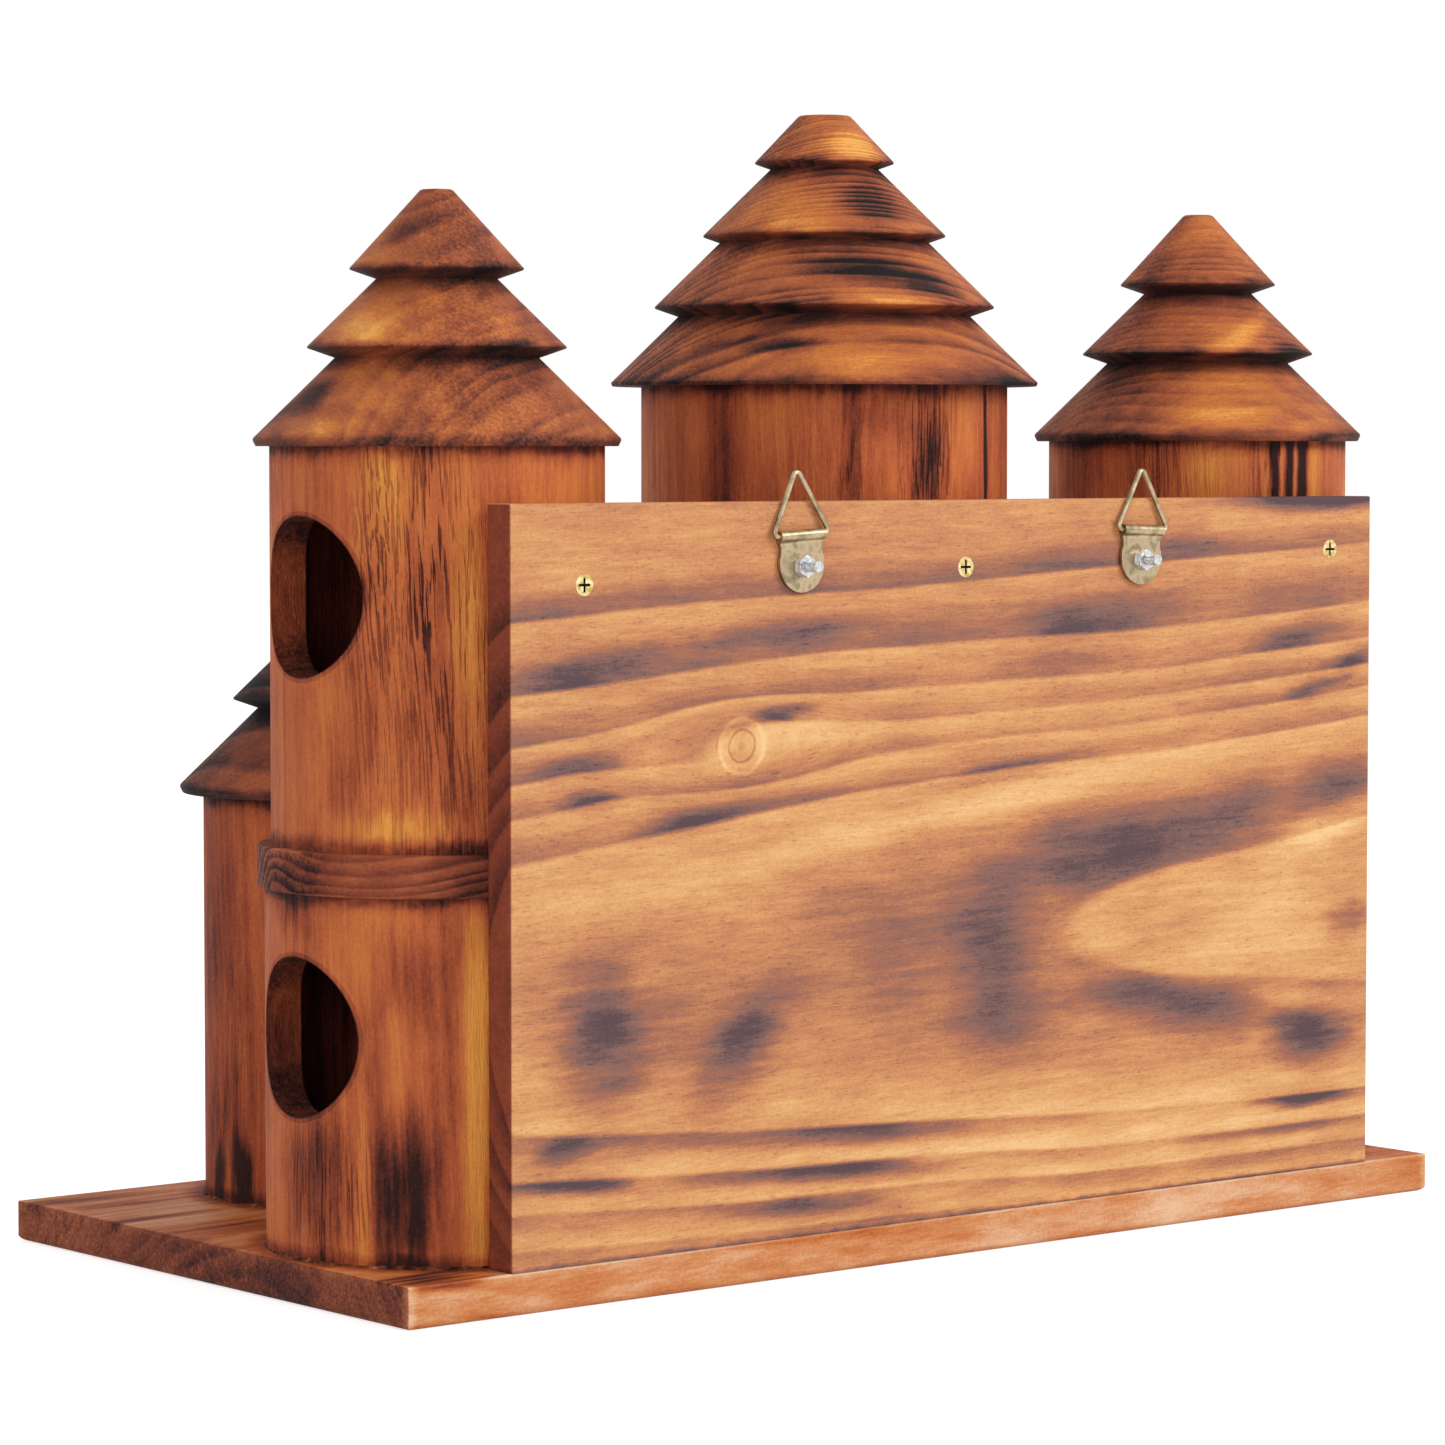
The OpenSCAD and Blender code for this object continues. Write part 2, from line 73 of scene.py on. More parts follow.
def add(tree, kind, inputs=None, stops=None, **settings):
    """Adds a node with its settings. A socket takes a value, a socket or a node to link"""
    node = tree.nodes.new("ShaderNode" + kind)
    for name, value in settings.items():
        setattr(node, name, value)
    in_use = [s for s in node.inputs if s.enabled]
    for key, value in (inputs or {}).items():
        socket = in_use[key] if isinstance(key, int) else next(s for s in in_use if s.name == key)
        if isinstance(value, bpy.types.Node):
            value = next(s for s in value.outputs if s.enabled)
        if isinstance(value, bpy.types.NodeSocket):
            tree.links.new(value, socket)
        else:
            socket.default_value = value
    if stops:
        ramp = node.color_ramp.elements
        while len(ramp) < len(stops):
            ramp.new(1)
        for element, (position, colour) in zip(ramp, stops):
            element.position = position
            element.color = linear(colour) if isinstance(colour, str) else (colour,) * 3 + (1,)
    return node


# Directions of a log in the house's frame, as degrees about X, Y and Z
UPRIGHT = (0, -90, 0)


def scorched_pine(name, pith, along, ring, tones, growth=1, drift=9, late=0.3, patchy=0.5,
                  streak=0.4, mottle=0.4, lining=0.0, scorch=0.2, hug=0.35, thirst=0.1, pores=0.4,
                  flecks=0.0, feather=(14, 3, 3), marks=(), checks=(), lines=(), end_tones=None,
                  knot=None, own=None, rough=0.6, brushed=0.5):
    """Pine cut from a log whose pith passes through a point in mm. Growth rings are ring mm wide
    100 mm from it, and closer further out where growth is above 1, or start at the radii that
    lines gives. Marks are (x, y, z, reach x, y, z, tilt about Y, strength): scorch above 0,
    bare below; some dark ones are painted shadow, some pale ones painted light. Hug is how closely
    scorch keeps to the dark side of a ring. Checks are places of drying cracks, given like marks.
    The rings part round a knot. Thirst is how much darker the end grain is, and own(tree, mm)
    gives scorch and painted shade of the piece's own"""
    wood = bpy.data.materials.new(name)
    wood.use_nodes = True
    tree = wood.node_tree
    tree.nodes.clear()
    place = add(tree, "TexCoord").outputs["Object"]
    mm = add(tree, "VectorMath", {0: place, 1: (1000, 1000, 1000)}, operation="MULTIPLY")
    turned = [math.radians(a) for a in along]
    flow = mm
    if knot:
        near = add(tree, "Mapping", {"Vector": mm, "Location": knot, "Scale": (46, 200, 14)},
                   vector_type="TEXTURE")
        away = add(tree, "VectorMath", {0: near}, operation="LENGTH").outputs["Value"]
        pinch = add(tree, "MapRange", {"Value": away, "From Min": 1.8, "From Max": 0.0,
                                       "To Max": -0.95}, interpolation_type="SMOOTHSTEP")
        squeeze = add(tree, "CombineXYZ", {"Z": pinch})
        inwards = add(tree, "VectorMath", {0: mm, 1: knot}, operation="SUBTRACT")
        flow = add(tree, "VectorMath", {0: inwards, 1: squeeze, 2: mm}, operation="MULTIPLY_ADD")
    log = add(tree, "Mapping", {"Vector": flow, "Location": pith, "Rotation": turned},
              vector_type="TEXTURE")

    # The rings wander slowly along the log and faster across it
    slow = add(tree, "VectorMath", {0: log, 1: (1 / 300, 1 / 75, 1 / 75)}, operation="MULTIPLY")
    wander = add(tree, "TexNoise", {"Vector": slow, "Scale": 1, "Detail": 2, "Roughness": 0.4})
    offset = add(tree, "VectorMath", {0: wander.outputs["Color"], 1: (0.5, 0.5, 0.5)},
                 operation="SUBTRACT")
    bent = add(tree, "VectorMath", {0: offset, 1: (0, 4 * drift, 4 * drift), 2: log},
               operation="MULTIPLY_ADD")
    across = add(tree, "VectorMath", {0: bent, 1: (0, 1, 1)}, operation="MULTIPLY")
    radius = add(tree, "VectorMath", {0: across}, operation="LENGTH").outputs["Value"]
    # The flame bites on the inner side of each ring and fades outwards, to a pale last line
    if lines:
        reach = lines[-1] + ring
        fades = [(0, 0.3)]
        for line, following in zip(lines, (*lines[1:], reach)):
            step = (following - line) / reach
            start = line / reach
            fades += [(start - 0.003, 0.0), (start + 0.004, 0.72), (start + 0.35 * step, 0.5),
                      (start + 0.68 * step, 0.1)]
        season = add(tree, "Math", {0: radius, 1: reach}, operation="DIVIDE")
        burnt = add(tree, "ValToRGB", {"Fac": season}, stops=fades)
    else:
        share = add(tree, "Math", {0: radius, 1: 100}, operation="DIVIDE")
        share = add(tree, "Math", {0: share, 1: growth}, operation="POWER")
        years = add(tree, "Math", {0: share, 1: 100 / ring / growth}, operation="MULTIPLY")
        swell = add(tree, "TexNoise", {"W": years, "Scale": 0.23, "Detail": 1},
                    noise_dimensions="1D")
        grown = add(tree, "Math", {0: swell, 1: 4.0, 2: years}, operation="MULTIPLY_ADD")
        season = add(tree, "Math", {0: grown}, operation="FRACT")
        burnt = add(tree, "ValToRGB", {"Fac": season},
                    stops=[(0, 0.35), (0.14, 1.0), (0.5, 0.4), (0.85, 0.05), (0.95, 0.0), (1, 0.35)])
    # They show strongly only in places, some 60 mm across
    spots = add(tree, "TexNoise", {"Vector": mm, "Scale": 1 / 60, "Detail": 1})
    strong = add(tree, "MapRange", {"Value": spots, "From Min": 0.4, "From Max": 0.6,
                                    "To Min": late * (1 - patchy), "To Max": late})
    even = add(tree, "Math", {0: burnt, 1: 0.35}, operation="SUBTRACT")
    tone = add(tree, "Math", {0: even, 1: strong, 2: 0.42}, operation="MULTIPLY_ADD")

    # Streaks of stain 11 mm wide, clouds of it 16 mm wide, fibres 0.8 mm wide and a grit of
    # 1.2 mm, which are as fine as shows
    fibre = add(tree, "VectorMath", {0: log, 1: (1 / 9, 1 / 0.8, 1 / 0.8)}, operation="MULTIPLY")
    fibres = add(tree, "TexNoise", {"Vector": fibre, "Scale": 1, "Detail": 2, "Roughness": 0.65})
    grit = add(tree, "TexNoise", {"Vector": mm, "Scale": 1 / 1.2, "Detail": 1})
    broad = add(tree, "VectorMath", {0: bent, 1: (1 / 230, 1 / 11, 1 / 11)}, operation="MULTIPLY")
    streaks = add(tree, "TexNoise", {"Vector": broad, "Scale": 1, "Detail": 3, "Roughness": 0.55})
    cloud = add(tree, "VectorMath", {0: bent, 1: (1 / 34, 1 / 16, 1 / 16)}, operation="MULTIPLY")
    clouds = add(tree, "TexNoise", {"Vector": cloud, "Scale": 1, "Detail": 4, "Roughness": 0.6})
    thin = add(tree, "VectorMath", {0: bent, 1: (1 / 160, 1 / 2.6, 1 / 2.6)}, operation="MULTIPLY")
    linings = add(tree, "TexNoise", {"Vector": thin, "Scale": 1, "Detail": 2})
    for part, share in ((streaks, streak), (clouds, mottle), (spots, mottle), (linings, lining),
                        (fibres, 0.26), (grit, 0.2)):
        centred = add(tree, "Math", {0: part, 1: 0.5}, operation="SUBTRACT")
        tone = add(tree, "Math", {0: centred, 1: share, 2: tone}, operation="MULTIPLY_ADD")
    if flecks:
        # Resin canals: short dark flecks along the grain
        canal = add(tree, "VectorMath", {0: log, 1: (1 / 5, 1 / 0.6, 1 / 0.6)},
                    operation="MULTIPLY")
        canals = add(tree, "TexNoise", {"Vector": canal, "Scale": 1, "Detail": 1})
        filled = add(tree, "MapRange", {"Value": canals, "From Min": 0.63, "From Max": 0.73,
                                        "To Max": flecks})
        tone = add(tree, "Math", {0: filled, 1: tone}, operation="ADD")
    # The flame's own smudges, some 60 mm long and 20 mm wide
    flame = add(tree, "VectorMath", {0: bent, 1: (1 / 85, 1 / 26, 1 / 26)}, operation="MULTIPLY")
    smudge = add(tree, "TexNoise", {"Vector": flame, "Scale": 1, "Detail": 3, "Roughness": 0.55})
    scorch_and_shade = add(tree, "MapRange", {"Value": smudge, "From Min": 0.5, "From Max": 0.72,
                                      "To Max": scorch}, interpolation_type="SMOOTHSTEP")

    # Listed marks, with edges feathered along the grain
    lick = add(tree, "VectorMath", {0: log, 1: (1 / 30, 1 / 6, 1 / 6)}, operation="MULTIPLY")
    licks = add(tree, "TexNoise", {"Vector": lick, "Scale": 1, "Detail": 2, "Roughness": 0.5})
    shift = add(tree, "VectorMath", {0: licks.outputs["Color"], 1: (0.5, 0.5, 0.5)},
                operation="SUBTRACT")
    feathered = add(tree, "VectorMath", {0: shift, 1: [2 * f for f in feather], 2: mm},
                    operation="MULTIPLY_ADD")

    def reach_of(spot, total):
        x, y, z, reach_x, reach_y, reach_z, tilt, strength = spot
        local = add(tree, "Mapping", {"Vector": feathered, "Location": (x, y, z),
                                      "Rotation": (0, math.radians(tilt), 0),
                                      "Scale": (reach_x, reach_y, reach_z)},
                    vector_type="TEXTURE")
        away = add(tree, "VectorMath", {0: local}, operation="LENGTH").outputs["Value"]
        mark = add(tree, "MapRange", {"Value": away, "From Min": 1.6, "From Max": 0.2,
                                      "To Max": strength}, interpolation_type="SMOOTHSTEP")
        return add(tree, "Math", {0: mark, 1: total}, operation="ADD")

    for spot in marks:
        if spot[-1] < 0:
            tone = reach_of(spot, tone)
        else:
            scorch_and_shade = reach_of(spot, scorch_and_shade)
    bite = add(tree, "Math", {0: burnt, 1: 2 * hug, 2: 1 - hug}, operation="MULTIPLY_ADD")
    tone = add(tree, "Math", {0: scorch_and_shade, 1: bite, 2: tone}, operation="MULTIPLY_ADD")

    # Faces across the grain drink more oil: darker, with open pores
    grain = add(tree, "VectorRotate", {"Vector": (1, 0, 0), "Rotation": turned},
                rotation_type="EULER_XYZ")
    facing = add(tree, "VectorMath", {0: add(tree, "NewGeometry").outputs["Normal"], 1: grain},
                 operation="DOT_PRODUCT").outputs["Value"]
    steep = add(tree, "Math", {0: facing}, operation="ABSOLUTE")
    end_grain = add(tree, "MapRange", {"Value": steep, "From Min": 0.4, "From Max": 0.75},
                    interpolation_type="SMOOTHSTEP")
    holes = add(tree, "TexNoise", {"Vector": mm, "Scale": 0.7, "Detail": 3, "Roughness": 0.65})
    open_pores = add(tree, "MapRange", {"Value": holes, "From Min": 0.36, "From Max": 0.66,
                                        "To Min": thirst - pores / 2, "To Max": thirst + pores})
    tone = add(tree, "Math", {0: end_grain, 1: open_pores, 2: tone}, operation="MULTIPLY_ADD")

    height = add(tree, "Math", {0: burnt, 1: -0.4, 2: fibres}, operation="MULTIPLY_ADD")
    if checks:
        # Drying checks: dark wavering cracks 0.8 mm wide along the grain
        zone = 0.0
        for spot in checks:
            zone = reach_of(spot, zone)
        crack = add(tree, "VectorMath", {0: bent, 1: (1 / 30, 1 / 1.1, 1 / 1.1)},
                    operation="MULTIPLY")
        cracks = add(tree, "TexNoise", {"Vector": crack, "Scale": 1, "Detail": 2,
                                        "Distortion": 0.4})
        split = add(tree, "MapRange", {"Value": cracks, "From Min": 0.46, "From Max": 0.38})
        open_checks = add(tree, "Math", {0: split, 1: zone}, operation="MULTIPLY")
        tone = add(tree, "Math", {0: open_checks, 1: 0.27, 2: tone}, operation="MULTIPLY_ADD")
        height = add(tree, "Math", {0: open_checks, 1: -2.0, 2: height}, operation="MULTIPLY_ADD")
    if own:
        tone = add(tree, "Math", {0: own(tree, mm), 1: tone}, operation="ADD")

    places = (0.0, 0.22, 0.42, 0.62, 0.82, 1.0)
    colour = add(tree, "ValToRGB", {"Fac": tone}, stops=list(zip(places, tones)))
    if end_tones:
        ends = add(tree, "ValToRGB", {"Fac": tone}, stops=list(zip(places, end_tones)))
        colour = add(tree, "Mix", {"Factor": end_grain, "A": colour, "B": ends}, data_type="RGBA")
    bump = add(tree, "Bump", {"Height": height, "Distance": 0.0006, "Strength": brushed})
    dull = add(tree, "MapRange", {"Value": tone, "From Min": 0.2, "From Max": 0.95,
                                  "To Min": rough - 0.06, "To Max": rough + 0.15})
    shader = add(tree, "BsdfPrincipled", {"Base Color": colour, "Roughness": dull,
                                          "Normal": bump, "IOR": 1.47,
                                          "Specular IOR Level": 0.16})
    add(tree, "OutputMaterial", {"Surface": shader})
    return wood


def cover(node, material):
    """Gives a CAD node its finish"""
    piece = nodes[node]
    piece.data.materials.clear()
    piece.data.materials.append(material)
    for face in piece.data.polygons:
        face.material_index = 0


board_tones = ("#E6BC98", "#D28C5A", "#BC622C", "#8C4429", "#592A20", "#2A1513")
board_ends = ("#C4805A", "#A65F3E", "#8E4A2E", "#6E3425", "#46231C", "#1E100F")
board_corner = tuple(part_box("base_board")[1] * 1000)
on_board = [n for n in nodes if n.endswith("lower_wall") or n.startswith("front") and "_wall" in n]


def foot_shade_and_wear(tree, mm):
    """Scorch of the board's own: a ragged dark ring of painted shade and sooty stain round the towers' feet,
    and sanded rear corners
    """
    ragged = add(tree, "TexNoise", {"Vector": mm, "Scale": 0.1, "Detail": 3})
    shade = 0.0
    # A ragged darker ring round each tower's foot: painted shade where the tower stands on the board, with
    # sooty stain
    for node in on_board:
        low, high = (corner * 1000 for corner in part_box(node))
        foot = (high.x - low.x) / 2
        off = add(tree, "VectorMath", {0: mm, 1: (low.x + foot, low.y + foot, 0)},
                  operation="SUBTRACT")
        off = add(tree, "VectorMath", {0: off, 1: (1, 1, 0)}, operation="MULTIPLY")
        away = add(tree, "VectorMath", {0: off}, operation="LENGTH").outputs["Value"]
        away = add(tree, "Math", {0: ragged, 1: 8, 2: away}, operation="MULTIPLY_ADD")
        darkening = add(tree, "MapRange", {"Value": away, "From Min": foot + 15, "From Max": foot + 5,
                                      "To Max": 0.34}, interpolation_type="SMOOTHSTEP")
        shade = add(tree, "Math", {0: darkening, 1: shade}, operation="ADD")
    mirrored = add(tree, "VectorMath", {0: mm}, operation="ABSOLUTE")
    inwards = add(tree, "SeparateXYZ", {0: add(tree, "VectorMath", {0: board_corner, 1: mirrored},
                                               operation="SUBTRACT")})
    corner = add(tree, "Math", {0: inwards.outputs["X"], 1: inwards.outputs["Y"]},
                 operation="MAXIMUM")
    corner = add(tree, "Math", {0: ragged, 1: 5, 2: corner}, operation="MULTIPLY_ADD")
    sanded = add(tree, "MapRange", {"Value": corner, "From Min": 8, "From Max": 3,
                                    "To Max": -0.2}, interpolation_type="SMOOTHSTEP")
    rim = add(tree, "Math", {0: inwards.outputs["Z"], 1: inwards.outputs["Y"]},
              operation="MAXIMUM")
    worn = add(tree, "MapRange", {"Value": rim, "From Min": 1.2, "From Max": 0.4,
                                  "To Max": -0.15})
    shade = add(tree, "Math", {0: sanded, 1: shade}, operation="ADD")
    return add(tree, "Math", {0: worn, 1: shade}, operation="ADD")


cover("base_board", scorched_pine(
    "oiled_pine_board", pith=(0, 12, -46), along=(0, 2, 3), ring=7, tones=board_tones,
    end_tones=board_ends, pores=0.2, thirst=0.06, late=0.12, patchy=0.6, streak=0.36, mottle=0.28,
    scorch=0.1, own=foot_shade_and_wear,
    # The first mark, dark on the board's top at the rear corner by the right tower, is painted shadow
    marks=((236, 116, 16, 16, 14, 5, 0, 0.5), (222, -20, 16, 40, 12, 5, 0, 0.3),
           (240, -112, 16, 40, 5, 5, 0, 0.5), (226, -92, 16, 30, 4, 5, 0, 0.36),
           (236, -58, 16, 26, 5, 5, 0, 0.4), (210, 0, 16, 90, 150, 4, 0, -0.2),
           (250, 10, 6, 4, 30, 16, 0, 0.2), (250, -90, 8, 4, 24, 12, 0, -0.14),
           (-20, 128, 6, 400, 5, 18, 0, -0.35))))

# Back panel
# One flat-sawn pine board with its heart behind the face, so that the rings open into a pale
# tongue on one side. The scorch is brushed to tan and left dark in licks along the grain.
panel_tones = ("#F0C48C", "#DEA66C", "#C9885C", "#A66C54", "#82605A", "#5C484C")
panel_ends = ("#A65638", "#964A30", "#863F2A", "#723525", "#5C2A20", "#3A1A16")
panel_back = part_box("back_panel")[1].y * 1000
panel_heart = 113.6
panel_knot = (104.6, panel_back, 191.5)
board_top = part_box("base_board")[1].z * 1000


def knot_and_foot(tree, mm):
    """Scorch of the panel's own: the knot's rings, and the dirt in the joint at its foot"""
    near = add(tree, "Mapping", {"Vector": mm, "Location": panel_knot, "Scale": (11, 60, 10.5)},
               vector_type="TEXTURE")
    uneven = add(tree, "TexNoise", {"Vector": mm, "Scale": 0.12, "Detail": 2})
    away = add(tree, "VectorMath", {0: near}, operation="LENGTH").outputs["Value"]
    away = add(tree, "Math", {0: uneven, 1: 0.24, 2: away}, operation="MULTIPLY_ADD")
    away = add(tree, "Math", {0: away, 1: 0.12}, operation="SUBTRACT")
    # Stops are shares of 11 mm: the core, its dark bark ring, and the pale rings round it
    branch = add(tree, "ValToRGB", {"Fac": away},
                 stops=[(0.1, 0.5), (0.2, 0.36), (0.34, 0.4), (0.46, 0.34), (0.53, 0.62),
                        (0.6, 0.3), (0.78, 0.26), (0.9, 0.1), (1.0, 0.14), (1.06, 0.36),
                        (1.2, 0.25)])
    shade = add(tree, "Math", {0: branch, 1: 0.25}, operation="SUBTRACT")
    level = add(tree, "SeparateXYZ", {0: mm}).outputs["Z"]
    level = add(tree, "Math", {0: uneven, 1: 3, 2: level}, operation="MULTIPLY_ADD")
    darkening = add(tree, "MapRange", {"Value": level, "From Min": board_top + 3.2,
                                  "From Max": board_top + 1.4, "To Max": 0.45})
    return add(tree, "Math", {0: darkening, 1: shade}, operation="ADD")


cover("back_panel", scorched_pine(
    "brushed_pine_panel", pith=(-4, panel_back + 47.6, panel_heart), along=(0, 1.6, 4.6), ring=14,
    lines=(43.8, 79.1, 89.8, 98.7, 108.5, 122, 143), tones=panel_tones, end_tones=panel_ends,
    drift=3.5, late=0.56, patchy=0.5, streak=0.26, mottle=0.3, lining=0.3, scorch=0.08, hug=0.6,
    thirst=0.1, pores=0.1, flecks=0.16, feather=(12, 2, 1.5), knot=panel_knot, own=knot_and_foot,
    marks=((170, 125, 83, 18, 40, 19, 0, 0.58), (158, 125, 88, 26, 40, 20, 0, 0.4),
           (168, 125, 112, 14, 40, 14, 0, 0.3), (108, 125, 81, 24, 40, 10, 42, 0.34),
           (104, 125, 86, 32, 40, 16, 38, 0.34),
           (-181, 125, 66, 21, 40, 12, 0, 0.66), (-105, 125, 86, 54, 40, 8, -8, 0.3),
           (-16, 125, 121, 20, 40, 26, 0, 0.22), (-62, 125, 150, 40, 40, 16, 14, 0.28),
           (-200, 125, 168, 28, 40, 11, 14, 0.4), (-130, 125, 158, 60, 40, 12, 14, 0.2),
           (-22, 125, 82, 26, 40, 18, 0, 0.2), (-204, 125, 112, 12, 40, 8, 0, 0.5),
           (-196, 125, 118, 22, 40, 20, 0, 0.2),
           (166, 125, 221, 30, 40, 7, 12, 0.3), (84, 125, 232, 34, 40, 6, 6, 0.26),
           (-60, 125, 228, 36, 40, 12, 10, 0.34), (-178, 125, 226, 24, 40, 7, 10, 0.34),
           (-196, 125, 209, 24, 40, 5, 20, 0.5), (178, 125, 187, 20, 40, 6, 4, 0.28),
           (174, 125, 175, 14, 40, 4, 4, 0.44), (128, 125, 165, 30, 40, 4, 8, 0.28),
           (-17, 125, 177, 34, 40, 3.5, 8, 0.28), (84, 125, 203, 14, 40, 3, 8, 0.4),
           (-184, 125, 279, 46, 40, 6, 0, 2.0), (-110, 125, 262, 30, 40, 6, 4, 0.16),
           (186, 125, 54, 14, 40, 6, 0, 0.45), (166, 125, 58, 24, 40, 3, -4, 0.14),
           (178, 125, 43, 24, 40, 4, -4, 0.6), (50, 125, 49, 62, 40, 6, -4, 0.42),
           (62, 125, 36, 58, 40, 5, -4, 0.55), (72, 125, 24, 44, 40, 4, -4, 0.5),
           (-180, 125, 44, 22, 40, 4, 0, 0.6), (-160, 125, 33, 40, 40, 3, 0, 0.3),
           (-165, 125, 112, 44, 40, 20, 0, -0.14), (-196, 125, 151, 30, 40, 7, 12, -0.3),
           (-190, 125, 82, 34, 40, 5, -6, -0.2), (0, 125, 164, 230, 40, 6, 8, -0.16),
           (104, 125, 193, 60, 40, 5, 4, -0.14), (-40, 125, 40, 190, 40, 16, 0, -0.22),
           (0, 125, 250, 240, 40, 28, 0, 0.16), (20, 125, 120, 70, 40, 24, 0, 0.05))))

# Tower walls
# Turned from upright glued blanks, brushed until the soft wood is cut away between the rings,
# and cracked a little in drying.


def sooty_shaded_ends(low_z, high_z, entrance, turn, room_r):
    """Scorch of a wall's own: a ragged sooty line at its foot, a ragged painted shadow below what it
    carries, painted shade in its room, and the bare cut of its 56 mm entrance"""
    height = high_z - low_z

    def soot_and_shade(tree, mm):
        ragged = add(tree, "TexNoise", {"Vector": mm, "Scale": 0.12, "Detail": 3})
        level = add(tree, "SeparateXYZ", {0: mm}).outputs["Z"]
        level = add(tree, "Math", {0: ragged, 1: 7, 2: level}, operation="MULTIPLY_ADD")
        share = add(tree, "MapRange", {"Value": level, "From Min": low_z + 3.5,
                                       "From Max": high_z + 3.5})
        # Sooty at the foot; the band over the last few mm below the top is painted shadow from what the wall
        # carries
        dark = add(tree, "ValToRGB", {"Fac": share},
                   stops=[(0, 0.3), (2 / height, 0.3), (6 / height, 0.0), (1 - 7 / height, 0.0),
                          (1 - 4 / height, 0.1), (1 - 1 / height, 0.4)])
        drill = add(tree, "Mapping", {"Vector": mm, "Location": entrance,
                                      "Rotation": (0, 0, math.radians(turn))},
                    vector_type="TEXTURE")
        off_axis = add(tree, "VectorMath", {0: drill, 1: (0, 1, 1)}, operation="MULTIPLY")
        off_axis = add(tree, "VectorMath", {0: off_axis}, operation="LENGTH").outputs["Value"]
        inside = add(tree, "Math", {0: off_axis, 1: 28.4}, operation="LESS_THAN")
        depth = add(tree, "SeparateXYZ", {0: drill}).outputs["X"]
        before = add(tree, "MapRange", {"Value": depth, "From Min": 8, "From Max": 9,
                                        "To Max": 0.16})
        bare_cut = add(tree, "Math", {0: inside, 1: before, 2: dark}, operation="MULTIPLY_ADD")
        edge = add(tree, "Math", {0: off_axis, 1: 28.8, 2: 0.9}, operation="COMPARE")
        front = add(tree, "MapRange", {"Value": depth, "From Min": 8, "From Max": 9,
                                       "To Max": 0.16})
        rimmed = add(tree, "Math", {0: edge, 1: front, 2: bare_cut}, operation="MULTIPLY_ADD")
        # The room's own face is darker: painted shade inside the hollow
        off_middle = add(tree, "VectorMath", {0: mm, 1: (entrance[0], entrance[1], 0)},
                         operation="SUBTRACT")
        off_middle = add(tree, "VectorMath", {0: off_middle, 1: (1, 1, 0)}, operation="MULTIPLY")
        off_middle = add(tree, "VectorMath", {0: off_middle}, operation="LENGTH").outputs["Value"]
        room = add(tree, "Math", {0: off_middle, 1: room_r}, operation="LESS_THAN")
        return add(tree, "Math", {0: room, 1: 0.4, 2: rimmed}, operation="MULTIPLY_ADD")
    return soot_and_shade


wall_tones = ("#E69A46", "#D07C3A", "#BE6438", "#9C4A2C", "#652D21", "#2B1411")
wall_looks = {
    "right_lower_wall": dict(
        marks=((229, 94, 38, 12, 12, 28, 0, 0.6), (208, 108, 76, 5, 6, 90, 0, -0.46),
               (244, 64, 40, 12, 18, 22, 0, 0.42), (238, 83, 40, 3, 4, 34, 0, -0.24),
               (229, 94, 118, 9, 10, 16, 0, 0.26), (246, 48, 136, 8, 12, 8, 0, 0.2),
               (222, 101, 84, 10, 10, 36, 0, 0.2), (237, 84, 73, 6, 8, 30, 0, 0.18)),
        checks=((245, 66, 38, 10, 18, 26, 0, 0.8), (238, 82, 44, 6, 8, 20, 0, 0.5))),
    "right_upper_wall": dict(
        marks=((228, 92, 167, 24, 24, 5, 0, -0.26), (208, 107, 168, 6, 6, 20, 0, 0.14),
               # The pale marks at 210, 108, 216 and 212, 106, 240 are painted light, lifting the shadow that
               # the panel casts on the wall beside it
               (210, 108, 216, 9, 8, 44, 0, -0.16),
               (230, 92, 250, 4, 5, 60, 0, -0.14), (212, 106, 240, 6, 6, 40, 0, -0.2),
               (236, 84, 284, 12, 14, 40, 0, -0.14), (240, 72, 178, 5, 7, 14, 0, 0.2), (214, 105, 196, 8, 8, 20, 0, 0.12)),
        checks=((223, 98, 262, 6, 8, 40, 0, 1.0), (234, 86, 262, 6, 8, 38, 0, 1.0),
                (226, 94, 205, 26, 30, 80, 0, 0.45), (216, 104, 240, 12, 12, 60, 0, 0.5))),
    "middle_upper_wall": dict(
        marks=((60, 62, 296, 7, 9, 40, 0, 0.4), (33, 98, 300, 4, 5, 40, 0, 0.5),
               (5, 111, 286, 8, 6, 26, 0, 0.4), (-12, 112, 300, 7, 6, 14, 0, -0.12),
               (-26, 110, 296, 1.2, 6, 60, 0, 0.9), (20, 104, 310, 12, 8, 10, 0, 0.24)),
        checks=((5, 111, 292, 12, 8, 40, 0, 0.9), (33, 96, 292, 5, 8, 40, 0, 0.8))),
    "left_upper_wall": dict(
        marks=((-150, 98, 288, 8, 10, 40, 0, -0.2), (-176, 110, 288, 2, 8, 40, 0, 0.8),
               (-183, 112, 288, 2, 8, 40, 0, 0.8), (-190, 112, 288, 2.4, 8, 40, 0, 0.7),
               (-197, 112, 288, 4, 8, 40, 0, -0.3), (-132, 48, 290, 8, 12, 30, 0, 0.3)),
        checks=((-142, 84, 288, 12, 16, 40, 0, 0.6), (-174, 109, 288, 8, 8, 40, 0, 0.8))),
    "front_right_wall": dict(
        marks=((190, -62, 26, 5, 5, 15, 0, 0.6), (190, -76, 24, 4, 4, 12, 0, 0.5),
               (188, -84, 110, 9, 9, 24, 0, 0.1), (190, -72, 110, 60, 60, 160, 0, 0.2)),
        checks=((192, -70, 60, 9, 14, 40, 0, 0.4),)),
}
